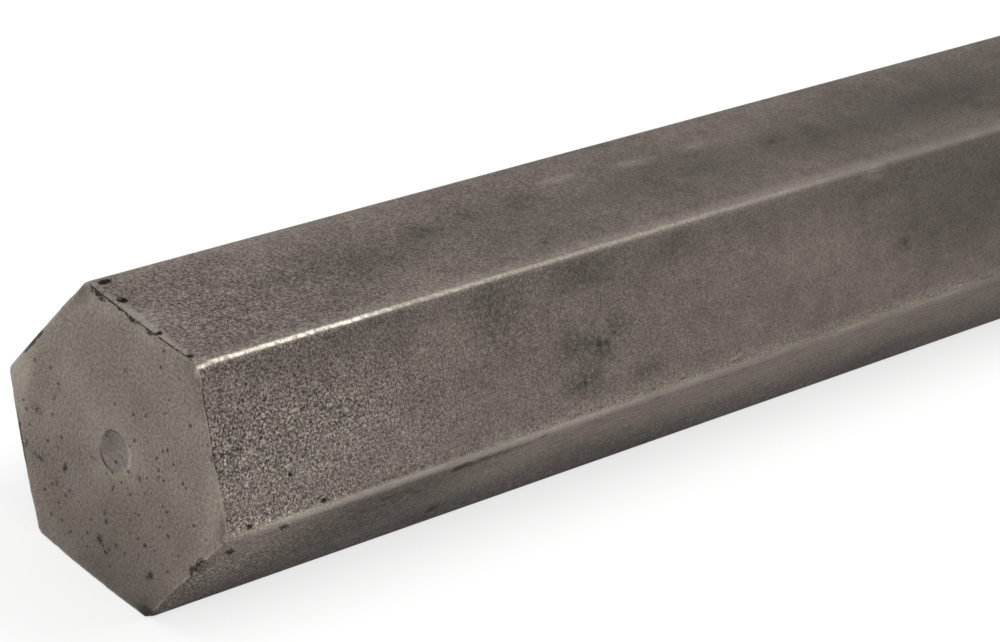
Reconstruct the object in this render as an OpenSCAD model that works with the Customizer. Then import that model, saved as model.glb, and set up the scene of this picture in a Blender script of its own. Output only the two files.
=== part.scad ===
// Hexagonal steel bar stock: one straight length of hot-rolled hexagon with both ends faced and chamfered.
// Sizes are in millimetres. X runs along the bar, Z is up, and the bar lies on one of its six flats.
// The origin is the middle of the flat that it lies on, and the end with the centre mark faces -X.

/* [Section] */
// Distance between two opposite flats
across_flats = 38.1; // [20:0.1:80]
// Radius that the rolls leave on the six long corners
corner_radius = 1; // [0.3:0.1:3]

/* [Length] */
// Length of the bar from end face to end face
bar_length = 609.6; // [100:0.1:3660]

/* [Chamfered ends] */
// How far the turned chamfer reaches in from the corners towards the axis
chamfer_reach = 4.8; // [1:0.1:6]
// Slope of the chamfer against the end face, in degrees, half way across its slightly crowned surface
chamfer_angle = 5; // [4:1:45]

/* [Centre mark] */
// Diameter of the shallow round mark in the middle of the marked end
centre_mark_d = 5.6; // [2:0.1:8]
// Depth of the mark at its middle
centre_mark_depth = 0.4; // [0.1:0.1:1]

/* [Hidden] */
$fn = 96;

// The warm grey of the steel as it left the mill.
mill_grey = "#6c645e";

// The bar is rolled with six equal flats.
flats = 6;
corner_step = 360 / flats;

// Each corner's arc runs out into the flats at this small angle.
run_out = 3;

// Each corner's arc has its middle this far from the axis, and its outside this far.
corner_middle = (across_flats / 2 - corner_radius * cos(run_out)) / cos(corner_step / 2);
corner_reach = corner_middle + corner_radius;

// The flats end this far from the axis, measured towards a corner.
flat_reach = corner_middle + corner_radius * cos(corner_step / 2);

// The turned face meets the chamfer on a circle, which follows the section when that changes.
face_radius = corner_reach - chamfer_reach;

// The chamfer is crowned: it is part of a ball on the bar's axis, with its middle this far behind the face.
crown_radius = (corner_reach - chamfer_reach / 2) / sin(chamfer_angle);
crown_depth = sqrt(pow(crown_radius, 2) - pow(face_radius, 2));

// The blank is longer than the cut length, and the lathe's cut runs past the corners, by this much.
facing_allowance = 5;
cut_radius = corner_reach + facing_allowance;
cut_run = crown_depth - sqrt(pow(crown_radius, 2) - pow(corner_reach, 2)) + chamfer_reach;

// A ball of this radius leaves a mark of the given diameter and depth.
mark_ball_radius = (pow(centre_mark_d / 2, 2) + pow(centre_mark_depth, 2)) / (2 * centre_mark_depth);

// A hexagon with one corner on the X axis, drawn by the distance from its middle to its sides.
module hexagon(to_side) {
    circle(r = to_side / cos(corner_step / 2), $fn = flats);
}

// The rolled section: a hexagon with its six corners taken back to arcs.
module hexagon_section() {
    intersection() {
        hexagon(across_flats / 2);
        union() {
            rotate(corner_step / 2)
                hexagon(flat_reach);
            for (i = [0 : flats - 1])
                rotate(i * corner_step)
                    translate([corner_middle, 0])
                        circle(r = corner_radius);
        }
    }
}

// The rolled blank, standing on end, before its ends are cut.
module rolled_blank() {
    translate([0, 0, -facing_allowance])
        linear_extrude(height = bar_length + 2 * facing_allowance)
            hexagon_section();
}

// What the lathe takes off one end: everything ahead of the face, and the corners outside the crown.
module end_cut() {
    difference() {
        translate([0, 0, -2 * facing_allowance])
            cylinder(r = cut_radius, h = 2 * facing_allowance + cut_run);
        intersection() {
            cylinder(r = 2 * cut_radius, h = 2 * cut_run);
            translate([0, 0, crown_depth])
                sphere(r = crown_radius);
        }
    }
}

// The ball that presses the shallow mark into the middle of one end.
module mark_ball() {
    translate([0, 0, centre_mark_depth - mark_ball_radius])
        sphere(r = mark_ball_radius);
}

// The finished bar, turned to lie along X on one flat.
module hex_bar() {
    color(mill_grey)
        translate([-bar_length / 2, 0, across_flats / 2])
            rotate([90, 0, 90])
                difference() {
                    rolled_blank();
                    end_cut();
                    translate([0, 0, bar_length])
                        mirror([0, 0, 1])
                            end_cut();
                    mark_ball();
                }
}

hex_bar();
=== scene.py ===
from math import cos, radians, sin, sqrt

import bpy
from mathutils import Matrix, Vector


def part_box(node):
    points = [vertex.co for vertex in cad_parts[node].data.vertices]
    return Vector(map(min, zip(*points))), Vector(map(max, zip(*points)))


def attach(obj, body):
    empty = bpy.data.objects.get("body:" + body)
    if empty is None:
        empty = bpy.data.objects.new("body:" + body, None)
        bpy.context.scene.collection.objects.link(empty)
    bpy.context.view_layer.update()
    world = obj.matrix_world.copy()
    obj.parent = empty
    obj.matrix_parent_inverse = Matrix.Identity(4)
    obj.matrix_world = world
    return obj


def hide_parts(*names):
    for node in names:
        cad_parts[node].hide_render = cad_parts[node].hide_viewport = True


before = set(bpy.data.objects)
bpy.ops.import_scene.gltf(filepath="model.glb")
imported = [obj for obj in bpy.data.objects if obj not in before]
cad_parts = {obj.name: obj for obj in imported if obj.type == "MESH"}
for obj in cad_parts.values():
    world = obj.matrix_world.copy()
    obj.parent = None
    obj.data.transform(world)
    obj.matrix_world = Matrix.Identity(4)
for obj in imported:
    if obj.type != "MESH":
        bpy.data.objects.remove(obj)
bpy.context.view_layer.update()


# The bar: one straight length of hot-rolled hexagonal steel, stored lying on a flat.
# Rolling leaves six gritty flats with rounded long corners, which handling rubs bright.
# Each end was faced and chamfered on a lathe, and the near end carries a shallow centre mark.

MM = 0.001
low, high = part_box("hex_bar")
bar_length = (high.x - low.x) / MM
across_flats = (high.z - low.z) / MM
half_flats = across_flats / 2
corner_radius = 1.0
chamfer_reach = 4.8
chamfer_angle = radians(5)
centre_mark_d = 5.6
centre_mark_depth = 0.4
sixth_turn = radians(60)

# Sizes that follow from those: corner arcs, the turned face, the crowned chamfer and the marking ball.
corner_middle = (half_flats - corner_radius) / cos(sixth_turn / 2)
corner_reach = corner_middle + corner_radius
sharp_corner = half_flats / cos(sixth_turn / 2)
half_arc = corner_radius * sixth_turn / 2
face_radius = corner_reach - chamfer_reach
crown_radius = (corner_reach - chamfer_reach / 2) / sin(chamfer_angle)
crown_depth = sqrt(crown_radius ** 2 - face_radius ** 2)
mark_radius = centre_mark_d / 2
mark_ball = (mark_radius ** 2 + centre_mark_depth ** 2) / (2 * centre_mark_depth)

# How finely each stretch is divided, from the middle of the near face to the middle of the far one.
# By the ends the rows along the bar lie at end_spacing times their mean distance.
arc_steps = 6
flat_steps = 52
mark_rings = 12
face_rings = 44
chamfer_rings = 12
long_steps = 170
far_chamfer_rings = 6
far_face_rings = 14
side_steps = arc_steps + flat_steps
round_steps = 6 * side_steps
near_rings = mark_rings + face_rings + chamfer_rings
far_rings = far_chamfer_rings + far_face_rings
rows = near_rings + long_steps + far_rings
end_spacing = 0.07

# The six flats, named for where they lie, and the way across each, as a turn about the bar from +Y.
flat_names = ["upper_back", "top", "front", "lower", "bottom", "lower_back"]
flat_turn = {name: 2 * sixth_turn + i * sixth_turn for i, name in enumerate(flat_names)}


def on_flat(name, u, v):
    """A point on a flat, in mm from the middle of the near face: u along the bar, v across the flat."""
    turn = flat_turn[name]
    corner = turn - 2 * sixth_turn
    return (
        u,
        sharp_corner * cos(corner) + v * cos(turn),
        sharp_corner * sin(corner) + v * sin(turn),
    )


# Chips knocked out of the near end's edge and the flats beside it: place, half size and push, all in mm,
# and how much dirt they hold.
edge_chips = [
    ((0.3, 8.2, 18.8), (0.7, 1.5, 0.7), (0.25, 0.0, -0.25), 1.5),
    ((0.2, 6.1, 19.0), (0.4, 0.4, 0.3), (0.12, 0.0, -0.12), 1.3),
    ((0.2, 3.9, 19.0), (0.5, 0.5, 0.4), (0.12, 0.0, -0.12), 1.3),
    ((0.2, 1.4, 18.9), (0.6, 1.2, 0.5), (0.20, 0.0, -0.20), 1.5),
    ((0.2, -1.9, 18.9), (0.5, 0.7, 0.5), (0.15, 0.0, -0.15), 1.4),
    ((0.3, -21.4, 0.4), (1.5, 1.1, 3.2), (0.30, 0.65, 0.0), 0.1),
    ((0.2, -11.2, 19.2), (3.0, 1.6, 1.4), (0.05, 0.20, -0.45), 0.0),
    ((0.4, -18.4, -6.2), (0.7, 0.8, 1.0), (0.40, 0.40, 0.10), 1.4),
    ((0.3, -17.6, -7.8), (0.7, 0.9, 0.9), (0.45, 0.40, 0.20), 1.5),
    ((0.2, -16.8, 8.8), (0.5, 0.5, 0.6), (0.25, 0.30, 0.0), 1.2),
    ((0.4, -11.2, -18.3), (0.9, 1.1, 0.9), (0.30, 0.15, 0.20), 1.5),
    (on_flat("top", 2.5, 1.2), (1.2, 0.55, 0.6), (0.0, 0.0, -0.35), 0.0),
    (on_flat("top", 1.6, 5.8), (0.7, 0.6, 0.6), (0.0, 0.0, -0.30), 0.0),
    (on_flat("lower", 4.5, 6.0), (0.7, 0.7, 0.7), (0.0, 0.22, 0.12), 0.0),
    (on_flat("lower", 12.0, 3.0), (0.8, 0.6, 0.6), (0.0, 0.22, 0.12), 0.0),
]

# Pits in the turned face: y, z, half width, half height and how dark they have filled with dirt.
face_pits = [
    (1.7, 1.9, 0.3, 0.3, 0.6),
    (1.9, 1.3, 0.25, 0.3, 0.6),
    (-1.2, -0.2, 0.25, 0.25, 0.7),
    (-0.4, -1.4, 0.3, 0.3, 0.8),
    (0.7, 11.7, 0.5, 0.5, 0.5),
    (-4.2, 7.8, 0.25, 0.3, 0.8),
    (-10.5, 4.3, 0.3, 0.3, 0.6),
    (-7.5, 3.5, 0.25, 0.25, 0.7),
    (-5.2, -1.0, 0.35, 0.35, 1.0),
    (-9.4, 1.2, 0.3, 0.25, 0.8),
    (3.3, -3.0, 0.6, 0.35, 0.6),
    (-1.1, -4.8, 0.3, 0.9, 0.5),
    (8.0, -7.2, 0.45, 0.85, 0.9),
    (9.7, -3.5, 0.35, 0.35, 0.7),
    (-12.7, 2.7, 0.3, 0.3, 0.7),
    (12.3, 1.0, 0.35, 0.7, 0.6),
    (11.6, 2.6, 0.3, 0.4, 0.5),
    (12.0, -1.3, 0.35, 0.5, 0.6),
    (15.0, -2.3, 1.6, 1.0, 0.42),
    (13.0, -8.5, 1.7, 0.5, 0.55),
    (16.0, -8.0, 0.9, 0.9, 0.5),
    (17.6, -6.4, 0.5, 0.6, 0.6),
    (9.0, -10.0, 0.6, 0.8, 0.45),
    (6.3, -9.8, 0.4, 0.5, 0.5),
    (-0.5, -9.0, 0.35, 0.5, 0.7),
    (-1.0, -10.0, 0.35, 0.4, 0.8),
    (-3.0, -10.3, 0.35, 0.4, 0.5),
    (-8.5, -9.1, 0.35, 0.4, 0.8),
    (-12.0, -9.8, 0.3, 0.3, 0.5),
    (-10.5, -12.4, 0.6, 0.5, 1.0),
    (-9.9, -13.2, 0.35, 0.35, 0.8),
    (-0.5, -13.0, 0.7, 0.7, 0.9),
    (-2.0, -14.2, 0.4, 0.35, 0.9),
    (-2.5, -13.4, 0.35, 0.35, 0.8),
    (-3.7, -12.2, 0.7, 0.6, 0.55),
    (-7.7, -11.3, 0.3, 0.5, 0.6),
]
pit_depth = 0.12

dents = [chip[:3] for chip in edge_chips]
for y, z, half_y, half_z, filled in face_pits:
    dents.append(((0.0, y, z), (0.5, half_y, half_z), (pit_depth * filled, 0.0, 0.0)))

dent_mesh = bpy.data.meshes.new("hex_bar_dents")
dent_mesh.from_pydata([Vector(place) for place, size, push in dents], [], [])
for name, column in (("dent_size", 1), ("dent_push", 2)):
    values = dent_mesh.attributes.new(name, "FLOAT_VECTOR", "POINT")
    for i, dent in enumerate(dents):
        values.data[i].vector = dent[column]


def add_node(tree, kind, inputs=None, **settings):
    """Adds a node with its settings. An input takes a value, a socket, or a node, for its first output."""
    node = tree.nodes.new(kind)
    for name, value in settings.items():
        setattr(node, name, value)
    for key, value in (inputs or {}).items():
        if isinstance(key, int):
            socket = node.inputs[key]
        else:
            socket = next(s for s in node.inputs if s.enabled and s.name == key)
        if isinstance(value, bpy.types.Node):
            value = next(s for s in value.outputs if s.enabled)
        if isinstance(value, bpy.types.NodeSocket):
            tree.links.new(value, socket)
        else:
            socket.default_value = value
    return node


MATH = "ShaderNodeMath"
VECTOR = "ShaderNodeVectorMath"
ROTATE = "ShaderNodeVectorRotate"
COMBINE = "ShaderNodeCombineXYZ"
NOISE = "ShaderNodeTexNoise"
RANGE = "ShaderNodeMapRange"
MIX = "ShaderNodeMix"
MAPPING = "ShaderNodeMapping"

# The rule for the bar's shape, in mm: a flat grid whose columns go round the section and whose rows go from
# the middle of the near face, over its chamfer, along the flats and in to the middle of the far face.
rule = bpy.data.node_groups.new("rolled_hex_bar", "GeometryNodeTree")
rule.interface.new_socket("Dents", in_out="INPUT", socket_type="NodeSocketGeometry")
bar_sizes = {
    "Length": bar_length,
    "Half Flats": half_flats,
    "Corner Radius": corner_radius,
    "Corner Middle": corner_middle,
    "Face Radius": face_radius,
    "Crown Radius": crown_radius,
    "Crown Depth": crown_depth,
    "Mark Radius": mark_radius,
    "Mark Ball": mark_ball,
    "Mark Depth": centre_mark_depth,
    "Corner Wear": 0.08,
    "Edge Wear": 0.2,
    "Waviness": 0.05,
}
for name in bar_sizes:
    rule.interface.new_socket(name, in_out="INPUT", socket_type="NodeSocketFloat")
for name in ("Rolled Skin", "Turned Steel"):
    rule.interface.new_socket(name, in_out="INPUT", socket_type="NodeSocketMaterial")
rule.interface.new_socket("Bar", in_out="OUTPUT", socket_type="NodeSocketGeometry")
given = rule.nodes.new("NodeGroupInput").outputs

grid = add_node(
    rule, "GeometryNodeMeshGrid",
    {"Size X": round_steps, "Size Y": rows, "Vertices X": round_steps + 1, "Vertices Y": rows + 1},
)
place = add_node(rule, "GeometryNodeInputPosition")
grid_xy = add_node(rule, "ShaderNodeSeparateXYZ", {0: place}).outputs
column = add_node(rule, MATH, {0: grid_xy["X"], 1: round_steps / 2}, operation="ADD")
row = add_node(rule, MATH, {0: grid_xy["Y"], 1: rows / 2}, operation="ADD")

# Round the section: an arc at each corner, then the flat after it.
side = add_node(rule, MATH, {0: column, 1: side_steps}, operation="DIVIDE")
side = add_node(rule, MATH, {0: side}, operation="FLOOR")
within = add_node(rule, MATH, {0: column, 1: side_steps}, operation="MODULO")
on_arc = add_node(rule, MATH, {0: within, 1: arc_steps}, operation="DIVIDE", use_clamp=True)
past_arc = add_node(rule, MATH, {0: within, 1: arc_steps}, operation="SUBTRACT")
across = add_node(rule, MATH, {0: past_arc, 1: flat_steps}, operation="DIVIDE", use_clamp=True)
corner_angle = add_node(rule, MATH, {0: side, 1: sixth_turn}, operation="MULTIPLY")
next_angle = add_node(rule, MATH, {0: corner_angle, 1: sixth_turn}, operation="ADD")
arc_start = add_node(rule, MATH, {0: corner_angle, 1: sixth_turn / 2}, operation="SUBTRACT")
arc_angle = add_node(rule, MATH, {0: on_arc, 1: sixth_turn, 2: arc_start}, operation="MULTIPLY_ADD")
to_middle = add_node(rule, COMBINE, {"Y": given["Corner Middle"]})
to_skin = add_node(rule, COMBINE, {"Y": given["Corner Radius"]})
this_corner = add_node(rule, ROTATE, {"Vector": to_middle, "Angle": corner_angle}, rotation_type="X_AXIS")
next_corner = add_node(rule, ROTATE, {"Vector": to_middle, "Angle": next_angle}, rotation_type="X_AXIS")
skin = add_node(rule, ROTATE, {"Vector": to_skin, "Angle": arc_angle}, rotation_type="X_AXIS")
between = add_node(rule, MIX, {"Factor": across, "A": this_corner, "B": next_corner}, data_type="VECTOR")
outline = add_node(rule, VECTOR, {0: between, 1: skin}, operation="ADD")
reach = add_node(rule, VECTOR, {0: outline}, operation="LENGTH").outputs["Value"]
face_edge = add_node(rule, MATH, {0: reach, 1: given["Face Radius"]}, operation="MINIMUM")
overhang = add_node(rule, MATH, {0: reach, 1: face_edge}, operation="SUBTRACT")

# Outwards over the near end: rings in the centre mark, then on the face, then on the chamfer.
in_mark = add_node(rule, MATH, {0: row, 1: mark_rings}, operation="DIVIDE", use_clamp=True)
past_mark = add_node(rule, MATH, {0: row, 1: mark_rings}, operation="SUBTRACT")
in_face = add_node(rule, MATH, {0: past_mark, 1: face_rings}, operation="DIVIDE", use_clamp=True)
past_face = add_node(rule, MATH, {0: past_mark, 1: face_rings}, operation="SUBTRACT")
in_chamfer = add_node(rule, MATH, {0: past_face, 1: chamfer_rings}, operation="DIVIDE", use_clamp=True)
face_width = add_node(rule, MATH, {0: face_edge, 1: given["Mark Radius"]}, operation="SUBTRACT")
near_r = add_node(rule, MATH, {0: in_mark, 1: given["Mark Radius"]}, operation="MULTIPLY")
near_r = add_node(rule, MATH, {0: in_face, 1: face_width, 2: near_r}, operation="MULTIPLY_ADD")
near_r = add_node(rule, MATH, {0: in_chamfer, 1: overhang, 2: near_r}, operation="MULTIPLY_ADD")

# Inwards over the far end, which has no mark.
to_end = add_node(rule, MATH, {0: rows, 1: row}, operation="SUBTRACT")
far_face = add_node(rule, MATH, {0: to_end, 1: far_face_rings}, operation="DIVIDE", use_clamp=True)
far_past = add_node(rule, MATH, {0: to_end, 1: far_face_rings}, operation="SUBTRACT")
far_chamfer = add_node(rule, MATH, {0: far_past, 1: far_chamfer_rings}, operation="DIVIDE", use_clamp=True)
far_r = add_node(rule, MATH, {0: far_face, 1: face_edge}, operation="MULTIPLY")
far_r = add_node(rule, MATH, {0: far_chamfer, 1: overhang, 2: far_r}, operation="MULTIPLY_ADD")

# How far each end's chamfer falls back at that radius: the crown is part of a ball on the bar's axis.
falls = []
crown_sq = add_node(rule, MATH, {0: given["Crown Radius"], 1: 2.0}, operation="POWER")
for ring in (near_r, far_r):
    ring_sq = add_node(rule, MATH, {0: ring, 1: 2.0}, operation="POWER")
    rest_sq = add_node(rule, MATH, {0: crown_sq, 1: ring_sq}, operation="SUBTRACT")
    rest = add_node(rule, MATH, {0: rest_sq}, operation="SQRT")
    fall = add_node(rule, MATH, {0: given["Crown Depth"], 1: rest}, operation="SUBTRACT")
    falls.append(add_node(rule, MATH, {0: fall, 1: 0.0}, operation="MAXIMUM"))
near_fall, far_fall = falls

# The centre mark is a dish left by a ball.
ball_sq = add_node(rule, MATH, {0: given["Mark Ball"], 1: 2.0}, operation="POWER")
ring_sq = add_node(rule, MATH, {0: near_r, 1: 2.0}, operation="POWER")
dish_sq = add_node(rule, MATH, {0: ball_sq, 1: ring_sq}, operation="SUBTRACT")
dish_sq = add_node(rule, MATH, {0: dish_sq, 1: 0.0}, operation="MAXIMUM")
dish = add_node(rule, MATH, {0: dish_sq}, operation="SQRT")
dish = add_node(rule, MATH, {0: dish, 1: given["Mark Ball"]}, operation="SUBTRACT")
dish = add_node(rule, MATH, {0: dish, 1: given["Mark Depth"]}, operation="ADD")
dish = add_node(rule, MATH, {0: dish, 1: 0.0}, operation="MAXIMUM")
near_x = add_node(rule, MATH, {0: near_fall, 1: dish}, operation="ADD")
far_x = add_node(rule, MATH, {0: given["Length"], 1: far_fall}, operation="SUBTRACT")

# Along the bar the rows lie close by the ends, where chips and worn edges show, and open out between.
along = add_node(rule, MATH, {0: row, 1: near_rings}, operation="SUBTRACT")
along = add_node(rule, MATH, {0: along, 1: long_steps}, operation="DIVIDE", use_clamp=True)
opening = add_node(
    rule, RANGE, {"Value": along, "To Max": 1 - end_spacing}, interpolation_type="SMOOTHERSTEP"
)
spaced = add_node(rule, MATH, {0: along, 1: end_spacing, 2: opening}, operation="MULTIPLY_ADD")
bar_x = add_node(rule, MIX, {"Factor": spaced, "A": near_x, "B": far_x}, data_type="FLOAT")
ring_r = add_node(rule, MATH, {0: near_r, 1: far_r}, operation="MINIMUM")
share = add_node(rule, MATH, {0: ring_r, 1: reach}, operation="DIVIDE")
ring_point = add_node(rule, VECTOR, {0: outline, "Scale": share}, operation="SCALE")
along_bar = add_node(rule, COMBINE, {"X": bar_x})
bar_point = add_node(rule, VECTOR, {0: ring_point, 1: along_bar}, operation="ADD")

# Kept on the mesh for its finish, in mm: how far a vertex is from the middle of a long corner, and from
# the edge of an end.
from_corner = add_node(rule, MATH, {0: on_arc, 1: 2.0, 2: -1.0}, operation="MULTIPLY_ADD")
from_corner = add_node(rule, MATH, {0: from_corner}, operation="ABSOLUTE")
from_corner = add_node(rule, MATH, {0: from_corner, 1: half_arc}, operation="MULTIPLY")
across_back = add_node(rule, MATH, {0: 1.0, 1: across}, operation="SUBTRACT")
from_flat_side = add_node(rule, MATH, {0: across, 1: across_back}, operation="MINIMUM")
from_corner = add_node(
    rule, MATH, {0: from_flat_side, 1: given["Corner Middle"], 2: from_corner}, operation="MULTIPLY_ADD"
)
inside_edge = add_node(rule, MATH, {0: reach, 1: ring_r}, operation="SUBTRACT")
past_near = add_node(rule, MATH, {0: bar_x, 1: near_x}, operation="SUBTRACT")
before_far = add_node(rule, MATH, {0: far_x, 1: bar_x}, operation="SUBTRACT")
from_edge = add_node(rule, MATH, {0: past_near, 1: before_far}, operation="MINIMUM")
from_edge = add_node(rule, MATH, {0: from_edge, 1: inside_edge}, operation="ADD")
near_end = add_node(rule, MATH, {0: row, 1: near_rings}, operation="LESS_THAN")
far_end = add_node(rule, MATH, {0: row, 1: near_rings + long_steps}, operation="GREATER_THAN")
turned = add_node(rule, MATH, {0: near_end, 1: far_end}, operation="MAXIMUM")

# Rolling leaves the flats a little wavy, and handling rubs the corners and the ends' edges down unevenly.
wave_size = 9.0
wave_stretch = (0.3, 1.0, 1.0)
calm_by_edge = 3.0
rub_size = 2.5
edge_wear_reach = 0.9
on_side = add_node(rule, MATH, {0: 1.0, 1: turned}, operation="SUBTRACT")
off_edge = add_node(
    rule, RANGE, {"Value": from_edge, "From Max": calm_by_edge}, interpolation_type="SMOOTHSTEP"
)
stretch = add_node(rule, VECTOR, {0: bar_point, 1: wave_stretch}, operation="MULTIPLY")
wave = add_node(rule, NOISE, {"Vector": stretch, "Scale": 1 / wave_size, "Detail": 2.0})
wave = add_node(rule, MATH, {0: wave, 1: 0.5}, operation="SUBTRACT")
wave = add_node(rule, MATH, {0: wave, 1: given["Waviness"]}, operation="MULTIPLY")
wave = add_node(rule, MATH, {0: wave, 1: off_edge}, operation="MULTIPLY")
rub = add_node(rule, NOISE, {"Vector": bar_point, "Scale": 1 / rub_size, "Detail": 3.0})
wears = []
for gap, wear_reach, wear in (
    (from_corner, half_arc, "Corner Wear"), (from_edge, edge_wear_reach, "Edge Wear"),
):
    worn = add_node(
        rule, RANGE, {"Value": gap, "From Min": wear_reach, "From Max": 0.0}, interpolation_type="SMOOTHSTEP"
    )
    worn = add_node(rule, MATH, {0: worn, 1: given[wear]}, operation="MULTIPLY")
    wears.append(add_node(rule, MATH, {0: worn, 1: rub}, operation="MULTIPLY"))
corner_wear, edge_wear = wears
outwards = add_node(rule, MATH, {0: wave, 1: corner_wear}, operation="SUBTRACT")
outwards = add_node(rule, MATH, {0: outwards, 1: on_side}, operation="MULTIPLY")
outwards = add_node(rule, MATH, {0: outwards, 1: edge_wear}, operation="SUBTRACT")
square_off = add_node(rule, VECTOR, {0: skin}, operation="NORMALIZE")
moved = add_node(rule, VECTOR, {0: square_off, "Scale": outwards}, operation="SCALE")
by_far_end = add_node(rule, MATH, {0: along, 1: 0.5}, operation="GREATER_THAN")
into_bar = add_node(rule, MATH, {0: by_far_end, 1: -2.0, 2: 1.0}, operation="MULTIPLY_ADD")
into_bar = add_node(rule, MATH, {0: into_bar, 1: edge_wear}, operation="MULTIPLY")
into_bar = add_node(rule, COMBINE, {"X": into_bar})
moved = add_node(rule, VECTOR, {0: moved, 1: into_bar}, operation="ADD")
worn_point = add_node(rule, VECTOR, {0: bar_point, 1: moved}, operation="ADD")
kept = grid
for name, domain, value in (
    ("from_corner", "POINT", from_corner), ("from_edge", "POINT", from_edge), ("turned", "FACE", turned),
):
    kept = add_node(
        rule, "GeometryNodeStoreNamedAttribute",
        {"Geometry": kept, "Name": name, "Value": value}, data_type="FLOAT", domain=domain,
    )
worn = add_node(rule, "GeometryNodeSetPosition", {"Geometry": kept, "Position": worn_point})

# Each chip or pit pushes in the skin around its place, with a ragged outline. Its rim and floor are given
# in half sizes of the dent, with the raggedness on top.
ragged_size = 0.6
ragged_share = 0.8
dent_rim = 1.45
dent_floor = 0.7
nearest = add_node(
    rule, "GeometryNodeSampleNearest", {"Geometry": given["Dents"], "Sample Position": place}
)
dent_place = add_node(
    rule, "GeometryNodeSampleIndex",
    {"Geometry": given["Dents"], "Value": place, "Index": nearest}, data_type="FLOAT_VECTOR",
)
dent_values = []
for name in ("dent_size", "dent_push"):
    stored = add_node(rule, "GeometryNodeInputNamedAttribute", {"Name": name}, data_type="FLOAT_VECTOR")
    dent_values.append(add_node(
        rule, "GeometryNodeSampleIndex",
        {"Geometry": given["Dents"], "Value": stored, "Index": nearest}, data_type="FLOAT_VECTOR",
    ))
dent_size, dent_push = dent_values
from_dent = add_node(rule, VECTOR, {0: place, 1: dent_place}, operation="SUBTRACT")
from_dent = add_node(rule, VECTOR, {0: from_dent, 1: dent_size}, operation="DIVIDE")
from_dent = add_node(rule, VECTOR, {0: from_dent}, operation="LENGTH").outputs["Value"]
ragged = add_node(rule, NOISE, {"Vector": place, "Scale": 1 / ragged_size, "Detail": 2.0})
from_dent = add_node(rule, MATH, {0: ragged, 1: ragged_share, 2: from_dent}, operation="MULTIPLY_ADD")
dent_depth = add_node(
    rule, RANGE, {"Value": from_dent, "From Min": dent_rim, "From Max": dent_floor},
    interpolation_type="SMOOTHSTEP",
)
push = add_node(rule, VECTOR, {0: dent_push, "Scale": dent_depth}, operation="SCALE")
chipped = add_node(rule, "GeometryNodeSetPosition", {"Geometry": worn, "Offset": push})

# Close the seam and the middles of both faces, turn mm to metres, and put the bar on the floor.
seam_gap = 0.004
closed = add_node(rule, "GeometryNodeMergeByDistance", {"Geometry": chipped, "Distance": seam_gap})
smooth = add_node(rule, "GeometryNodeSetShadeSmooth", {"Geometry": closed})
to_floor = add_node(rule, MATH, {0: given["Half Flats"], 1: MM}, operation="MULTIPLY")
to_near = add_node(rule, MATH, {0: given["Length"], 1: -MM / 2}, operation="MULTIPLY")
lying = add_node(rule, COMBINE, {"X": to_near, "Z": to_floor})
placed = add_node(
    rule, "GeometryNodeTransform", {"Geometry": smooth, "Translation": lying, "Scale": (MM, MM, MM)}
)
real = add_node(rule, "GeometryNodeRealizeInstances", {"Geometry": placed})
rolled = add_node(rule, "GeometryNodeSetMaterial", {"Geometry": real, "Material": given["Rolled Skin"]})
turned_kept = add_node(rule, "GeometryNodeInputNamedAttribute", {"Name": "turned"}, data_type="FLOAT")
is_turned = add_node(
    rule, "FunctionNodeCompare", {0: turned_kept, 1: 0.5}, data_type="FLOAT", operation="GREATER_THAN"
)
finished = add_node(
    rule, "GeometryNodeSetMaterial",
    {"Geometry": rolled, "Selection": is_turned, "Material": given["Turned Steel"]},
)
add_node(rule, "NodeGroupOutput", {"Bar": finished})


def linear(hex_colour):
    """An sRGB hex colour as the linear values that a shader reads."""
    parts = [int(hex_colour[i:i + 2], 16) / 255 for i in (1, 3, 5)]
    return [p / 12.92 if p <= 0.04045 else ((p + 0.055) / 1.055) ** 2.4 for p in parts] + [1.0]


def soft_spots(tree, coords, spots):
    """The sum of soft spots, each given by place in mm, turn about the bar, half sizes and strength."""
    total = 0.0
    for place, turn, half, strength in spots:
        centred = add_node(
            tree, MAPPING,
            {"Vector": coords, "Location": place, "Rotation": (turn, 0, 0), "Scale": half},
            vector_type="TEXTURE",
        )
        spread = add_node(tree, "ShaderNodeTexGradient", {"Vector": centred}, gradient_type="SPHERICAL")
        total = add_node(
            tree, MATH, {0: spread.outputs["Fac"], 1: strength, 2: total}, operation="MULTIPLY_ADD"
        )
    return total


def flat_spots(marks):
    """Spots on the flats, from each mark's flat, u, v, half length, half width and strength."""
    skin_depth = 2.5
    return [
        (on_flat(flat, u, v), flat_turn[flat], (half_u, half_v, skin_depth), strength)
        for flat, u, v, half_u, half_v, strength in marks
    ]


# Hot-rolled mild steel with its thin mill scale: warm dark grey, matt and gritty, mottled by heat and oil.
# It shows soft lengthwise shading, dark stains, rubbed bare metal with painted highlights, and painted shade
# below.
rolled_skin = bpy.data.materials.new("hot_rolled_steel_mill_scale")
rolled_skin.use_nodes = True
coat = rolled_skin.node_tree
coat.nodes.clear()
spot = add_node(coat, "ShaderNodeTexCoord").outputs["Object"]
near_middle = (bar_length / 2, 0, -half_flats)
in_mm = (1 / MM, 1 / MM, 1 / MM)
bar_mm = add_node(coat, MAPPING, {"Vector": spot, "Location": near_middle, "Scale": in_mm})
bar_at = add_node(coat, "ShaderNodeSeparateXYZ", {0: bar_mm}).outputs

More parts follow.
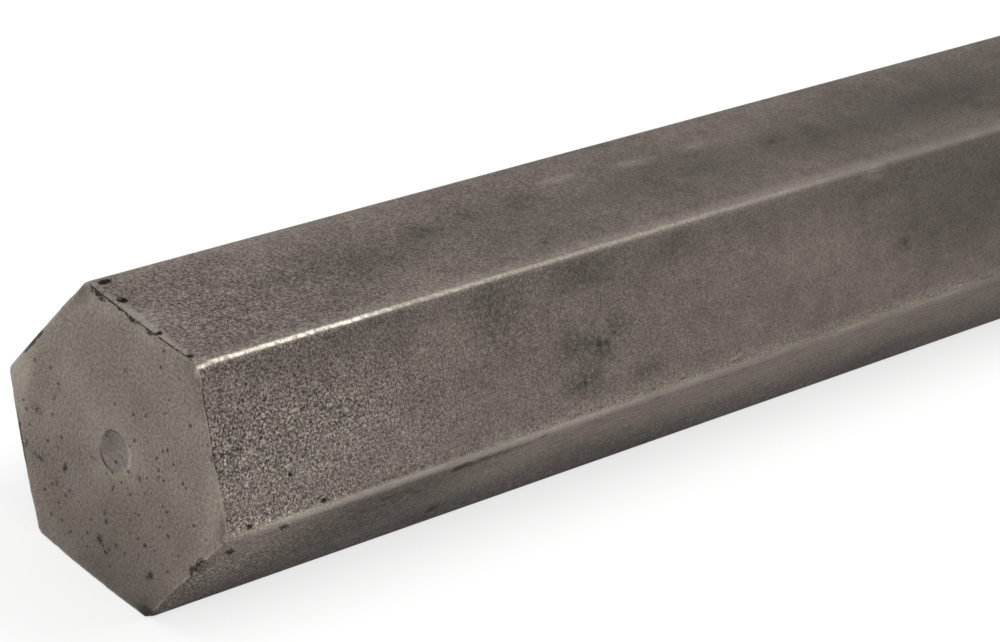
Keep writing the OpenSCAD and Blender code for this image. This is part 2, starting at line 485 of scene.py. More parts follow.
# Mottling about 25 mm long, soft clouds of 3 mm, and faint streaks that the rolls drew along the bar.
mottle_size = 10.0
cloud_size = 3.0
streak_size = 2.4
long_mm = add_node(coat, MAPPING, {"Vector": bar_mm, "Scale": (0.4, 1, 1)})
mottle = add_node(
    coat, NOISE, {"Vector": long_mm, "Scale": 1 / mottle_size, "Detail": 4.0, "Roughness": 0.55}
)
cloud = add_node(coat, NOISE, {"Vector": bar_mm, "Scale": 1 / cloud_size, "Detail": 4.0, "Roughness": 0.6})
drawn_mm = add_node(coat, MAPPING, {"Vector": bar_mm, "Scale": (0.04, 1, 1)})
streak = add_node(coat, NOISE, {"Vector": drawn_mm, "Scale": 1 / streak_size, "Detail": 2.0})
tone = add_node(coat, MATH, {0: mottle, 1: 0.5}, operation="MULTIPLY")
tone = add_node(coat, MATH, {0: cloud, 1: 0.38, 2: tone}, operation="MULTIPLY_ADD")
tone = add_node(coat, MATH, {0: streak, 1: 0.12, 2: tone}, operation="MULTIPLY_ADD")
tone = add_node(coat, RANGE, {"Value": tone, "From Min": 0.32, "From Max": 0.68})
colour = add_node(
    coat, MIX, {"Factor": tone, "A": linear("#615954"), "B": linear("#7e746c")}, data_type="RGBA"
)

# Grit left by the scale, in grains of about 0.3 mm that lighten and darken the skin alike. It stands out
# most by the near end: flat, u, v, half length, half width, strength.
grain_size = 0.32
grit_depth = 0.05 * MM
least_grit = 0.25
grit_contrast = 2.9
darkest_grain = 0.3
grit_areas = [
    ("front", 0, 14, 46, 16, 0.9),
    ("front", 20, 12, 95, 30, 0.25),
    ("top", 0, 14, 44, 20, 0.35),
    ("top", 20, 11, 95, 30, 0.25),
    ("lower", 0, 8, 36, 20, 1.2),
    ("lower", 75, 11, 300, 26, 0.6),
]
grit_amount = soft_spots(coat, bar_mm, flat_spots(grit_areas))
grit_amount = add_node(coat, MATH, {0: grit_amount, 1: least_grit}, operation="ADD")
grains = add_node(coat, NOISE, {"Vector": bar_mm, "Scale": 1 / grain_size, "Detail": 1.0, "Roughness": 0.7})
grains = add_node(coat, MATH, {0: grains, 1: 0.5}, operation="SUBTRACT")
grit = add_node(coat, MATH, {0: grains, 1: grit_amount}, operation="MULTIPLY")
lighten = add_node(coat, MATH, {0: grit, 1: grit_contrast, 2: 1.0}, operation="MULTIPLY_ADD")
lighten = add_node(coat, MATH, {0: lighten, 1: darkest_grain}, operation="MAXIMUM")
lighten = add_node(coat, MATH, {0: lighten, 1: 2.0}, operation="POWER")
colour = add_node(coat, VECTOR, {0: colour, "Scale": lighten}, operation="SCALE")

# Oil and scale stains, listed as the grit is. The small ones are blotchy, and the broad ones are smooth.
stains = [
    ("front", 51, 4.5, 8, 6, 0.55),
    ("front", 68, 2.6, 9, 3.5, 0.42),
    ("front", 87.5, 3, 6, 3, 0.35),
    ("front", 64.6, 12, 3.5, 2.4, 0.4),
    ("front", 69.8, 13.2, 5, 3, 0.5),
    ("front", 74.3, 11, 3.5, 2.4, 0.45),
    ("front", 65.7, 17.3, 5.5, 2.6, 0.6),
    ("front", 78.6, 18.3, 4, 2, 0.5),
    ("front", 68, 12, 19, 10, 0.24),
    ("front", 44, 12, 14, 4, 0.15),
    ("top", 122, 10.2, 4, 2, 0.3),
    ("top", 61.4, 7.8, 3, 1.8, 0.4),
    ("top", 66.2, 18, 2, 1.4, 0.45),
    ("top", 37, 11.5, 10, 6, 0.2),
    ("top", 51.6, 8.6, 4.5, 2.6, 0.4),
    ("top", 95, 16, 7, 3.5, 0.12),
    ("top", 71, 8, 5, 2.5, 0.3),
]
broad_stains = [
    ("front", 25, 1.5, 36, 4, 0.25),
    ("front", 95, 2.5, 60, 4, 0.3),
    ("front", 163, 7, 52, 16, 0.6),
    ("top", 42, 12, 38, 9, 0.25),
    ("top", 102, 11.5, 60, 10, 0.41),
    ("top", 165, 11, 52, 13, 0.6),
]
stain = soft_spots(coat, bar_mm, flat_spots(stains))
broad_stain = soft_spots(coat, bar_mm, flat_spots(broad_stains))

# Beyond the part that is stained as listed, and on the back flats, like stains fall where a noise is high.
patch_size = 8.0
stain_blotch = 0.9
beyond = add_node(coat, RANGE, {"Value": bar_at["X"], "From Min": 155, "From Max": 190})
behind = add_node(coat, RANGE, {"Value": bar_at["Y"], "From Min": 11.5, "From Max": 14})
elsewhere = add_node(coat, MATH, {0: beyond, 1: behind}, operation="MAXIMUM")
patches = add_node(coat, NOISE, {"Vector": long_mm, "Scale": 1 / patch_size, "Detail": 2.0})
patches = add_node(coat, RANGE, {"Value": patches, "From Min": 0.56, "From Max": 0.78, "To Max": 0.7})
stain = add_node(coat, MATH, {0: patches, 1: elsewhere, 2: stain}, operation="MULTIPLY_ADD")
blotch = add_node(
    coat, NOISE, {"Vector": bar_mm, "Scale": 1 / stain_blotch, "Detail": 4.0, "Roughness": 0.75}
)
blotch = add_node(
    coat, RANGE, {"Value": blotch, "From Min": 0.36, "From Max": 0.64, "To Min": 0.2, "To Max": 1.5}
)
stain = add_node(
    coat, MATH, {0: stain, 1: blotch, 2: broad_stain}, operation="MULTIPLY_ADD", use_clamp=True
)
colour = add_node(coat, MIX, {"Factor": stain, "A": colour, "B": linear("#30302c")}, data_type="RGBA")

# Light scuffs, combed into fine scratches along the bar: dashes and a smear on the top flat and faint
# patches on the front one. A long, browner band of painted light makes the upper part of the lower flat
# paler.
scratch_size = 0.5
scuff_and_light_share = 0.7
scuffs = [
    ("top", 81.5, 5.6, 6, 1.3, 0.9),
    ("top", 95.5, 6.4, 6, 1.4, 0.55),
    ("top", 109, 6.6, 6, 1.4, 0.45),
    ("top", 30, 2.5, 10, 2.5, 0.35),
    ("top", 1, 10.5, 6, 4.5, 0.8),
    ("top", 0.3, 7, 1.0, 9, 0.8),
    ("top", 25, 0.8, 60, 1.5, 0.5),
    ("front", 131.5, 1, 3.5, 1.8, 0.5),
    ("front", 15, 17, 50, 9, 0.3),
    ("top", 0.9, 11, 0.8, 13, 1.1),
    ("top", 0.6, 16.5, 0.6, 7, 0.9),
]
# Painted light on the lower flat: paler above, so that it darkens downwards.
low_flat_painted_light = [
    ("lower", 4, 3, 14, 6, 0.5),
    ("lower", 95, 4.5, 165, 10.5, 0.85),
]
combed_mm = add_node(coat, MAPPING, {"Vector": bar_mm, "Scale": (0.15, 1, 1)})
scratch = add_node(
    coat, NOISE, {"Vector": combed_mm, "Scale": 1 / scratch_size, "Detail": 3.0, "Roughness": 0.7}
)
scratch = add_node(
    coat, RANGE, {"Value": scratch, "From Min": 0.35, "From Max": 0.65, "To Min": 0.2, "To Max": 1.3}
)
for marks, shade in ((scuffs, "#a0968e"), (low_flat_painted_light, "#a59688")):
    scuff_and_light = soft_spots(coat, bar_mm, flat_spots(marks))
    scuff_and_light = add_node(coat, MATH, {0: scuff_and_light, 1: scratch}, operation="MULTIPLY", use_clamp=True)
    scuff_and_light = add_node(coat, MATH, {0: scuff_and_light, 1: scuff_and_light_share}, operation="MULTIPLY")
    colour = add_node(coat, MIX, {"Factor": scuff_and_light, "A": colour, "B": linear(shade)}, data_type="RGBA")

# Brown soil and painted shade, darkest low on the lower front flat, and small pits and knocks filled with
# black dirt.
soil_and_shade = [
    ("lower", 32, 6, 22, 11, 0.9),
    # Painted shade: this broad mark darkens the lower flat towards its bottom edge.
    ("lower", 60, 24, 200, 15, 0.95),
    ("lower", 1, 8.5, 1.6, 4, 0.6),
    ("lower", 49, 2.6, 9, 2, 0.9),
    ("front", 136, 12.6, 2, 1.7, 0.6),
]
pits = [
    ("top", 2.5, 1.2, 1.3, 0.6, 3.0),
    ("top", 1.6, 5.8, 0.9, 0.7, 3.0),
    ("top", 0.8, 14, 0.6, 0.6, 2.5),
    ("top", 0.8, 19.8, 0.6, 0.6, 2.5),
    ("front", 3.8, 21.4, 0.55, 0.45, 3.5),
    ("front", 16.6, 21.2, 0.55, 0.45, 3.5),
    ("front", 11.8, 16.5, 0.5, 0.5, 4.0),
    ("lower", 3.1, 4.6, 0.7, 0.7, 4.0),
    ("lower", 3.8, 5.3, 0.7, 0.7, 4.0),
    ("lower", 4.5, 6.0, 0.7, 0.7, 4.0),
    ("lower", 10.4, 1.8, 0.7, 0.7, 4.0),
    ("lower", 11, 2.4, 0.7, 0.7, 4.0),
    ("lower", 11.6, 3.0, 0.7, 0.7, 4.0),
    ("lower", 43.0, 2.7, 2.0, 1.4, 4.0),
    ("lower", 48, 17, 1.3, 1.7, 3.0),
    ("lower", 58, 1.5, 0.8, 0.9, 1.8),
    ("lower", 81, 1.7, 0.9, 0.9, 1.5),
]
for marks, shade in ((soil_and_shade, "#2b241e"), (pits, "#1c1714")):
    filth_and_shade = soft_spots(coat, bar_mm, flat_spots(marks))
    filth_and_shade = add_node(coat, MATH, {0: filth_and_shade, 1: blotch}, operation="MULTIPLY", use_clamp=True)
    colour = add_node(coat, MIX, {"Factor": filth_and_shade, "A": colour, "B": linear(shade)}, data_type="RGBA")

# Rubbed corners show bare steel. The upper front corner is bare steel and a painted highlight, brightest by
# the near end and fading along the bar. The lower front corner has a broad soft painted sheen, most of it on
# the side below, and the other corners are rubbed here and there. Places are in mm from the middle of the
# near face.
bead_size = 0.9
from_corner = add_node(coat, "ShaderNodeAttribute", attribute_name="from_corner").outputs["Fac"]
on_line = add_node(
    coat, RANGE, {"Value": from_corner, "From Min": 0.5, "From Max": 0.1}, interpolation_type="SMOOTHSTEP"
)
front_skew = add_node(coat, RANGE, {"Value": bar_at["Z"], "From Min": -0.3, "From Max": 2.7, "To Max": 5.0})
band_gap = add_node(coat, MATH, {0: from_corner, 1: front_skew}, operation="ADD")
on_band = add_node(
    coat, RANGE, {"Value": band_gap, "From Min": 2.6, "From Max": 0.4}, interpolation_type="SMOOTHSTEP"
)
# Painted highlight on the bare steel of the upper front corner, brightest by the near end.
near_glint = add_node(
    coat, RANGE, {"Value": bar_at["X"], "From Min": 38, "From Max": 26, "To Max": 0.3},
    interpolation_type="SMOOTHSTEP",
)
fading = add_node(coat, RANGE, {"Value": bar_at["X"], "From Min": 130, "From Max": 20, "To Max": 0.3})
glint = add_node(coat, MATH, {0: near_glint, 1: fading}, operation="ADD")
upper = add_node(coat, RANGE, {"Value": bar_at["Z"], "From Min": 14, "From Max": 16})
forward_side = add_node(coat, RANGE, {"Value": bar_at["Y"], "From Min": -6, "From Max": -8})
upper_front = add_node(coat, MATH, {0: upper, 1: forward_side}, operation="MULTIPLY")
glint = add_node(coat, MATH, {0: glint, 1: upper_front}, operation="MULTIPLY")
glint = add_node(coat, MATH, {0: glint, 1: on_line}, operation="MULTIPLY")
# Painted sheen: a broad soft band on the lower front corner, and a faint strip on the top flat beside the
# upper front corner.
band_fade = add_node(
    coat, RANGE, {"Value": bar_at["X"], "From Min": 170, "From Max": 15, "To Min": 0.03, "To Max": 0.29}
)
lower_front = add_node(coat, RANGE, {"Value": bar_at["Y"], "From Min": -20, "From Max": -21})
sheen_band = add_node(coat, MATH, {0: band_fade, 1: lower_front}, operation="MULTIPLY")
sheen_band = add_node(coat, MATH, {0: sheen_band, 1: on_band}, operation="MULTIPLY")
begins = add_node(coat, RANGE, {"Value": bar_at["X"], "From Min": 2, "From Max": 14, "To Min": 0.4})
sheen_band = add_node(coat, MATH, {0: sheen_band, 1: begins}, operation="MULTIPLY")
on_top = add_node(coat, RANGE, {"Value": bar_at["Z"], "From Min": 18.2, "From Max": 18.9})
on_top = add_node(coat, MATH, {0: on_top, 1: forward_side}, operation="MULTIPLY")
top_sheen = add_node(
    coat, RANGE, {"Value": from_corner, "From Min": 2.6, "From Max": 0.3, "To Max": 0.1},
    interpolation_type="SMOOTHSTEP",
)
sheen_band = add_node(coat, MATH, {0: top_sheen, 1: on_top, 2: sheen_band}, operation="MULTIPLY_ADD")
handled = add_node(coat, RANGE, {"Value": mottle, "From Min": 0.48, "From Max": 0.75, "To Max": 0.2})
back_side = add_node(coat, RANGE, {"Value": bar_at["Y"], "From Min": 8, "From Max": 10, "To Max": 0.3})
upper_back = add_node(coat, MATH, {0: upper, 1: back_side}, operation="MULTIPLY")
handled = add_node(coat, MATH, {0: handled, 1: upper_back}, operation="MAXIMUM")
handled = add_node(coat, MATH, {0: handled, 1: on_line}, operation="MULTIPLY")
rubbed_and_sheen = add_node(coat, MATH, {0: glint, 1: handled}, operation="MAXIMUM")
beads = add_node(coat, NOISE, {"Vector": bar_mm, "Scale": 1 / bead_size, "Detail": 3.0, "Roughness": 0.7})
patchy = add_node(
    coat, RANGE, {"Value": beads, "From Min": 0.35, "From Max": 0.65, "To Min": 0.4, "To Max": 1.35}
)
rubbed_and_sheen = add_node(coat, MATH, {0: rubbed_and_sheen, 1: patchy, 2: sheen_band}, operation="MULTIPLY_ADD", use_clamp=True)
colour = add_node(coat, MIX, {"Factor": rubbed_and_sheen, "A": colour, "B": linear("#efe7d6")}, data_type="RGBA")

# The scale is matt, and bare metal is smoother. Only the bare metal shines as metal.
rough = add_node(
    coat, RANGE, {"Value": mottle, "From Min": 0.3, "From Max": 0.7, "To Min": 0.7, "To Max": 0.6}
)
rough = add_node(coat, MIX, {"Factor": rubbed_and_sheen, "A": rough, "B": 0.4}, data_type="FLOAT")
bare = add_node(coat, RANGE, {"Value": rubbed_and_sheen, "To Min": 0.05, "To Max": 0.9})
relief = add_node(coat, "ShaderNodeBump", {"Height": grit, "Strength": 0.5, "Distance": grit_depth})
shader = add_node(
    coat, "ShaderNodeBsdfPrincipled",
    {
        "Base Color": colour, "Metallic": bare, "Roughness": rough,
        "Specular IOR Level": 0.1, "Normal": relief,
    },
)
add_node(coat, "ShaderNodeOutputMaterial", {"Surface": shader})

# Turned mild steel gone dull: smoother than the rolled flats and a warmer, olive grey, with a paler band
# near the edge that is painted light on the chamfer, dirt in the pits, and dirt and a painted shadow line
# along the edge.
# A tool's rings are usually about 0.2 mm apart, and are drawn coarser here so that they show at all.
face_mottle = 7.0
face_grain = 0.4
ring_spacing = 0.8
ring_depth = 0.012 * MM
waves_a_unit = 3.2
turned_steel = bpy.data.materials.new("turned_steel_dulled")
turned_steel.use_nodes = True
face = turned_steel.node_tree
face.nodes.clear()
spot = add_node(face, "ShaderNodeTexCoord").outputs["Object"]
face_mm = add_node(face, MAPPING, {"Vector": spot, "Location": near_middle, "Scale": in_mm})
mottle = add_node(
    face, NOISE, {"Vector": face_mm, "Scale": 1 / face_mottle, "Detail": 5.0, "Roughness": 0.6}
)
grain = add_node(face, NOISE, {"Vector": face_mm, "Scale": 1 / face_grain, "Detail": 2.0, "Roughness": 0.75})
rings = add_node(
    face, "ShaderNodeTexWave",
    {"Vector": face_mm, "Scale": 1 / (ring_spacing * waves_a_unit), "Distortion": 2.0, "Detail": 2.0},
    wave_type="RINGS", rings_direction="X",
).outputs["Fac"]
tone = add_node(face, MATH, {0: mottle, 1: 0.2}, operation="MULTIPLY")
tone = add_node(face, MATH, {0: grain, 1: 0.78, 2: tone}, operation="MULTIPLY_ADD")
tone = add_node(face, MATH, {0: rings, 1: 0.02, 2: tone}, operation="MULTIPLY_ADD")
tone = add_node(face, RANGE, {"Value": tone, "From Min": 0.37, "From Max": 0.63})
colour = add_node(
    face, MIX, {"Factor": tone, "A": linear("#665c51"), "B": linear("#948a7f")}, data_type="RGBA"
)
flat_mm = add_node(face, VECTOR, {0: face_mm, 1: (0.0, 1.0, 1.0)}, operation="MULTIPLY")
radius = add_node(face, VECTOR, {0: flat_mm}, operation="LENGTH").outputs["Value"]

# Marks on the near face are given in mm from its middle, and reach this far into the bar.
face_depth = 3.0


def face_spots(marks):
    """Spots on the near face, from each mark's y, z, half width, half height and strength."""
    return [((0, y, z), 0, (face_depth, wide, tall), strength) for y, z, wide, tall, strength in marks]


# The chamfer was turned in a second cut. It is painted a little paler, as light it catches, most at the back
# corner, with a painted highlight where the upper front corner meets it.
wander = add_node(face, MATH, {0: mottle, 1: 1.6, 2: radius}, operation="MULTIPLY_ADD")
on_chamfer = add_node(
    face, RANGE, {"Value": wander, "From Min": face_radius + 0.2, "From Max": face_radius + 2.0},
    interpolation_type="SMOOTHSTEP",
)
chamfer_light_patches = [
    (21.0, 1.0, 7.0, 11.0, 0.42),
    (10.0, 17.5, 7.0, 3.0, 0.15),
    (0.0, 18.0, 12.0, 3.0, 0.12),
    (-18.5, 2.0, 4.0, 9.0, 0.15),
    # Painted highlight: the end of the upper front corner's highlight on the face.
    (-11.0, 18.4, 0.8, 1.4, 1.0),
]
rubbed_and_sheen = soft_spots(face, face_mm, face_spots(chamfer_light_patches))
rubbed_and_sheen = add_node(face, MATH, {0: rubbed_and_sheen, 1: 0.04}, operation="ADD")
rubbed_and_sheen = add_node(face, MATH, {0: rubbed_and_sheen, 1: on_chamfer}, operation="MULTIPLY")
halo = add_node(face, RANGE, {"Value": radius, "From Min": 7.0, "From Max": 3.2, "To Max": 0.12})
along = add_node(face, "ShaderNodeSeparateXYZ", {0: face_mm}).outputs["X"]
near_end = add_node(face, RANGE, {"Value": along, "From Min": 20.0, "From Max": 10.0})
rubbed_and_sheen = add_node(face, MATH, {0: halo, 1: near_end, 2: rubbed_and_sheen}, operation="MULTIPLY_ADD")
colour = add_node(face, MIX, {"Factor": rubbed_and_sheen, "A": colour, "B": linear("#c2b8a9")}, data_type="RGBA")

# The lower part is darker towards the bottom, and some of the corners are darker.
darker_patches = [
    (-5.0, -18.0, 26.0, 19.0, 0.58),
    (15.0, -7.0, 5.0, 5.0, 0.15),
    (11.6, 17.6, 3.0, 2.4, 0.8),
    (-11.0, -19.0, 5.0, 4.0, 0.5),
    (-12.0, 17.0, 6.0, 5.0, 0.25),
    (-21.0, 0.0, 2.0, 4.0, 0.4),
]
darker_parts = soft_spots(face, face_mm, face_spots(darker_patches))
colour = add_node(face, MIX, {"Factor": darker_parts, "A": colour, "B": linear("#3a332c")}, data_type="RGBA")

# The centre mark is a lilac grey, with painted shade on the upper left of its dish. Its rim, listed by
# radius, half width, y, z, reach and strength, has dirt and painted shade in its sharp turn above and below,
# and a painted highlight on its lip on the right.
in_mark = add_node(face, RANGE, {"Value": radius, "From Min": mark_radius, "From Max": mark_radius - 0.2})
in_mark = add_node(face, MATH, {0: in_mark, 1: near_end}, operation="MULTIPLY")
lilac = add_node(face, MATH, {0: in_mark, 1: 0.45}, operation="MULTIPLY")
colour = add_node(face, MIX, {"Factor": lilac, "A": colour, "B": linear("#706867")}, data_type="RGBA")
speckle = add_node(face, RANGE, {"Value": grain, "From Min": 0.56, "From Max": 0.4, "To Max": 0.3})
speckle = add_node(face, MATH, {0: speckle, 1: in_mark}, operation="MULTIPLY")
colour = add_node(face, MIX, {"Factor": speckle, "A": colour, "B": linear("#4c453f")}, data_type="RGBA")
painted_dish_shade = soft_spots(face, face_mm, face_spots([(1.4, 1.2, 2.0, 2.0, 0.5)]))
painted_dish_shade = add_node(face, MATH, {0: painted_dish_shade, 1: in_mark}, operation="MULTIPLY")
colour = add_node(face, MIX, {"Factor": painted_dish_shade, "A": colour, "B": linear("#4c453f")}, data_type="RGBA")
breaks = add_node(
    face, RANGE, {"Value": grain, "From Min": 0.35, "From Max": 0.65, "To Min": 0.5, "To Max": 1.4}
)
for rim_radius, half_width, y, z, rim_reach, amount, shade in (
    (mark_radius - 0.05, 0.22, 0.6, 2.6, 2.6, 1.1, "#332d29"),
    (mark_radius - 0.05, 0.24, 1.3, -2.4, 2.6, 1.4, "#332d29"),
    (mark_radius + 0.3, 0.45, -2.8, 0.3, 2.8, 0.6, "#b9b0a4"),
):
    off_ring = add_node(face, MATH, {0: radius, 1: rim_radius}, operation="SUBTRACT")
    off_ring = add_node(face, MATH, {0: off_ring}, operation="ABSOLUTE")
    on_ring = add_node(
        face, RANGE, {"Value": off_ring, "From Min": half_width, "From Max": 0.0, "To Max": amount}
    )
    this_side = soft_spots(face, face_mm, face_spots([(y, z, rim_reach, rim_reach, 1.0)]))
    on_ring = add_node(face, MATH, {0: on_ring, 1: this_side}, operation="MULTIPLY")
    on_ring = add_node(face, MATH, {0: on_ring, 1: breaks}, operation="MULTIPLY", use_clamp=True)
    colour = add_node(face, MIX, {"Factor": on_ring, "A": colour, "B": linear(shade)}, data_type="RGBA")

# Dirt in and round the pits and the edge's chips, and dark lines along the edge, listed by y, z, turn in
# degrees, half length, half width and strength. Along the top edge these lines are a painted shadow line.
dirt_spread = 1.5
dirt_blotch = 0.45
edge_lines = [
    (-19.9, -3.9, -60, 4.6, 0.4, 1.0),
    (-18.0, -7.0, -60, 2.0, 0.8, 1.3),
    (-14.3, -13.2, -60, 5.5, 0.6, 0.5),
    (-10.8, -18.3, 0, 2.2, 1.3, 1.6),
    # Painted shadow: the two lines along the top edge.
    (-5.5, 18.9, 0, 8.0, 0.3, 0.9),
    (5.0, 18.9, 0, 8.0, 0.3, 0.9),
    (18.0, 6.2, -60, 4.0, 0.45, 1.3),
    (16.9, -8.2, 60, 5.5, 0.4, 1.1),
    (-13.0, 15.3, 60, 2.5, 0.4, 0.6),
    (-15.5, 11.2, 60, 9.0, 0.35, 0.8),
    (-16.8, 8.9, 60, 2.5, 0.4, 0.8),
    (-20.2, 3.0, 60, 3.5, 0.3, 0.5),
]
dirt_and_shadow_spots = face_spots([
    (y, z, dirt_spread * wide, dirt_spread * tall, filled) for y, z, wide, tall, filled in face_pits
])
for place, size, push, held in edge_chips:
    if held:
        dirt_and_shadow_spots.append((place, 0, [dirt_spread * half for half in size], held))
for y, z, turn, long, wide, dark in edge_lines:
    dirt_and_shadow_spots.append(((0, y, z), radians(turn), (face_depth, long, wide), dark))
dirt_and_shadow = soft_spots(face, face_mm, dirt_and_shadow_spots)
blotch = add_node(
    face, NOISE, {"Vector": face_mm, "Scale": 1 / dirt_blotch, "Detail": 3.0, "Roughness": 0.7}
)
blotch = add_node(
    face, RANGE, {"Value": blotch, "From Min": 0.35, "From Max": 0.6, "To Min": 0.3, "To Max": 2.0}
)
dirt_and_shadow = add_node(face, MATH, {0: dirt_and_shadow, 1: blotch}, operation="MULTIPLY")
dirt_and_shadow = add_node(face, RANGE, {"Value": dirt_and_shadow, "From Min": 0.2, "From Max": 0.8})

# Pin pricks in the turned face, most of them in its darker parts: at most one to a cell of 1 mm, and each
# with its own size.
prick_spacing = 1.0
smallest_prick = 0.1
largest_prick = 0.38
prick_strength = 0.85
cells = add_node(face, "ShaderNodeTexVoronoi", {"Vector": face_mm, "Scale": 1 / prick_spacing}).outputs
chance = add_node(face, "ShaderNodeSeparateColor", {0: cells["Color"]}).outputs
prick_size = add_node(
    face, RANGE, {"Value": chance["Green"], "To Min": smallest_prick, "To Max": largest_prick}
)
prick_core = add_node(face, MATH, {0: prick_size, 1: 0.5}, operation="MULTIPLY")
prick = add_node(face, RANGE, {"Value": cells["Distance"], "From Min": prick_size, "From Max": prick_core})
peppered = [
    (-9.0, 0.5, 7.0, 9.0, 0.3),
    (-4.0, -12.0, 10.0, 7.0, 0.25),
    (13.0, -2.0, 6.0, 9.0, 0.25),
]
pepper = soft_spots(face, face_mm, face_spots(peppered))
pepper = add_node(face, MATH, {0: pepper, 1: darker_parts}, operation="ADD")
odds = add_node(face, MATH, {0: pepper, 1: -0.95, 2: 0.97}, operation="MULTIPLY_ADD")
lucky = add_node(face, MATH, {0: chance["Red"], 1: odds}, operation="GREATER_THAN")
prick = add_node(face, MATH, {0: prick, 1: lucky}, operation="MULTIPLY")
prick = add_node(face, MATH, {0: prick, 1: prick_strength}, operation="MULTIPLY")
dirt_and_shadow = add_node(face, MATH, {0: dirt_and_shadow, 1: prick}, operation="MAXIMUM")
colour = add_node(face, MIX, {"Factor": dirt_and_shadow, "A": colour, "B": linear("#2a241f")}, data_type="RGBA")

# The sharp edge of the face is rubbed to a thin broken bright line.
from_edge = add_node(face, "ShaderNodeAttribute", attribute_name="from_edge").outputs["Fac"]
rim = add_node(face, RANGE, {"Value": from_edge, "From Min": 0.5, "From Max": 0.1})
broken = add_node(face, RANGE, {"Value": blotch, "From Min": 0.7, "From Max": 1.5, "To Max": 0.35})
rim = add_node(face, MATH, {0: rim, 1: broken}, operation="MULTIPLY")
clean = add_node(face, MATH, {0: 1.0, 1: dirt_and_shadow}, operation="SUBTRACT")
rim = add_node(face, MATH, {0: rim, 1: clean}, operation="MULTIPLY")
colour = add_node(face, MIX, {"Factor": rim, "A": colour, "B": linear("#cfc6b8")}, data_type="RGBA")

# Half dulled, the turned face still has some of the shine of metal.
rough = add_node(
    face, RANGE, {"Value": mottle, "From Min": 0.3, "From Max": 0.7, "To Min": 0.6, "To Max": 0.5}
)
height = add_node(face, MATH, {0: rings, 1: 0.3, 2: grain}, operation="MULTIPLY_ADD")
relief = add_node(face, "ShaderNodeBump", {"Height": height, "Strength": 0.4, "Distance": ring_depth})
shader = add_node(
    face, "ShaderNodeBsdfPrincipled",
    {"Base Color": colour, "Metallic": 0.4, "Roughness": rough, "Normal": relief},
)
add_node(face, "ShaderNodeOutputMaterial", {"Surface": shader})

# Grow the bar from its rule and keep it as a plain mesh.
bar = bpy.data.objects.new("hex_bar_steel", dent_mesh)
bpy.context.scene.collection.objects.link(bar)
growth = bar.modifiers.new("rolled_hex_bar", "NODES")
growth.node_group = rule
finishes = {"Rolled Skin": rolled_skin, "Turned Steel": turned_steel}
for socket in rule.interface.items_tree:
    if socket.in_out == "INPUT" and socket.name in bar_sizes:
        growth[socket.identifier] = bar_sizes[socket.name]
    if socket.in_out == "INPUT" and socket.name in finishes:
        growth[socket.identifier] = finishes[socket.name]
evaluated = bpy.context.evaluated_depsgraph_get()
bar_mesh = bpy.data.meshes.new_from_object(bar.evaluated_get(evaluated), depsgraph=evaluated)
bar.modifiers.clear()
bar.data = bar_mesh
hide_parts("hex_bar")
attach(bar, "root")


# The floor: a plain pale studio floor that the bar lies on. It shows white to the camera and in the metal,
# and it keeps a soft shadow under the bar.

floor_size = 8.0
floor_drop = 0.05 * MM
floor_mesh = bpy.data.meshes.new("studio_floor")
reach_out = floor_size / 2
floor_corners = [
    (-reach_out, -reach_out, 0),
    (reach_out, -reach_out, 0),
    (reach_out, reach_out, 0),
    (-reach_out, reach_out, 0),
]
floor_mesh.from_pydata(floor_corners, [], [(0, 1, 2, 3)])
floor = bpy.data.objects.new("studio_floor", floor_mesh)
floor.location.z = -floor_drop
bpy.context.scene.collection.objects.link(floor)
paper = bpy.data.materials.new("matt_white_paper")
paper.use_nodes = True
sheet = paper.node_tree
sheet.nodes.clear()
path = add_node(sheet, "ShaderNodeLightPath").outputs
seen = add_node(sheet, MATH, {0: path["Is Camera Ray"], 1: path["Is Glossy Ray"]}, operation="MAXIMUM")
seen = add_node(sheet, MATH, {0: seen, 1: path["Is Transmission Ray"]}, operation="MAXIMUM")
pale = add_node(sheet, "ShaderNodeBsdfDiffuse", {"Color": linear("#a8a8a8")})
shade = add_node(sheet, "ShaderNodeBsdfDiffuse", {"Color": linear("#b3b3b3")})
glow = add_node(sheet, "ShaderNodeEmission", {"Color": linear("#ffffff"), "Strength": 0.65})
white = add_node(sheet, "ShaderNodeAddShader", {0: shade, 1: glow})
look = add_node(sheet, "ShaderNodeMixShader", {0: seen, 1: pale, 2: white})
add_node(sheet, "ShaderNodeOutputMaterial", {"Surface": look})
floor_mesh.materials.append(paper)


# The light: an even white studio with three broad soft lamps: one over the far end, one by the camera
# and a weak one to the left of the near end. Each is given by the way to it from the near end, its distance
# and width in metres, and its power in watts.

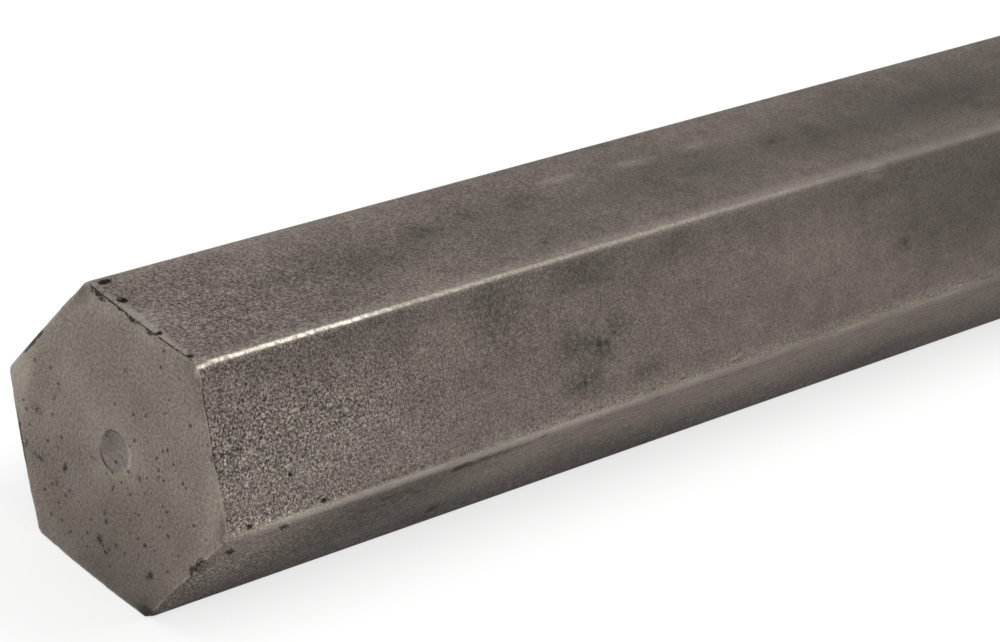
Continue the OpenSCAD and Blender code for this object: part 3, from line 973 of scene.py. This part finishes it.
scene = bpy.context.scene
scene.view_settings.view_transform = "Standard"
world = bpy.data.worlds.new("white_studio")
world.use_nodes = True
sky = world.node_tree
sky.nodes.clear()
path = add_node(sky, "ShaderNodeLightPath").outputs
seen = add_node(sky, MATH, {0: path["Is Camera Ray"], 1: path["Is Transmission Ray"]}, operation="MAXIMUM")
soft = add_node(sky, "ShaderNodeBackground", {"Color": linear("#ffffff"), "Strength": 0.5})
plain = add_node(sky, "ShaderNodeBackground", {"Color": linear("#ffffff"), "Strength": 1.0})
backdrop = add_node(sky, "ShaderNodeMixShader", {0: seen, 1: soft, 2: plain})
add_node(sky, "ShaderNodeOutputWorld", {"Surface": backdrop})
scene.world = world

near_end_at = Vector((-bar_length / 2 * MM, 0, half_flats * MM))
for name, towards, distance, size, power in (
    ("key_lamp", (0.66, -0.22, 0.71), 2.2, 1.4, 21),
    ("fill_lamp", (-0.72, -0.45, 0.53), 1.6, 1.0, 8.5),
    ("side_lamp", (-0.45, 0.85, 0.3), 1.6, 0.8, 4),
):
    lamp = bpy.data.lights.new(name, "AREA")
    lamp.shape = "DISK"
    lamp.size = size
    lamp.energy = power
    lamp_object = bpy.data.objects.new(name, lamp)
    direction = Vector(towards).normalized()
    lamp_object.location = near_end_at + direction * distance
    lamp_object.rotation_euler = direction.to_track_quat("Z", "Y").to_euler()
    scene.collection.objects.link(lamp_object)


# The camera: a long lens about half a metre from the near end, above it and to its left, and held tilted.

view_azimuth = radians(-51.507)
view_elevation = radians(28.435)
view_roll = radians(-13.82)
view_from = Vector((-303.25, -296.5, 259.87)) * MM
forward = Vector((
    -sin(view_azimuth) * cos(view_elevation),
    cos(view_azimuth) * cos(view_elevation),
    -sin(view_elevation),
))
level = forward.cross(Vector((0, 0, 1))).normalized()
down = forward.cross(level)
right = level * cos(view_roll) + down * sin(view_roll)
up = right.cross(forward)
lens = bpy.data.cameras.new("photo_camera")
lens.lens = 141.28
lens.sensor_width = 36.0
lens.clip_start = 0.01
camera = bpy.data.objects.new("photo_camera", lens)
stance = Matrix((right, up, -forward)).transposed().to_4x4()
stance.translation = near_end_at + view_from
camera.matrix_world = stance
scene.collection.objects.link(camera)
scene.camera = camera
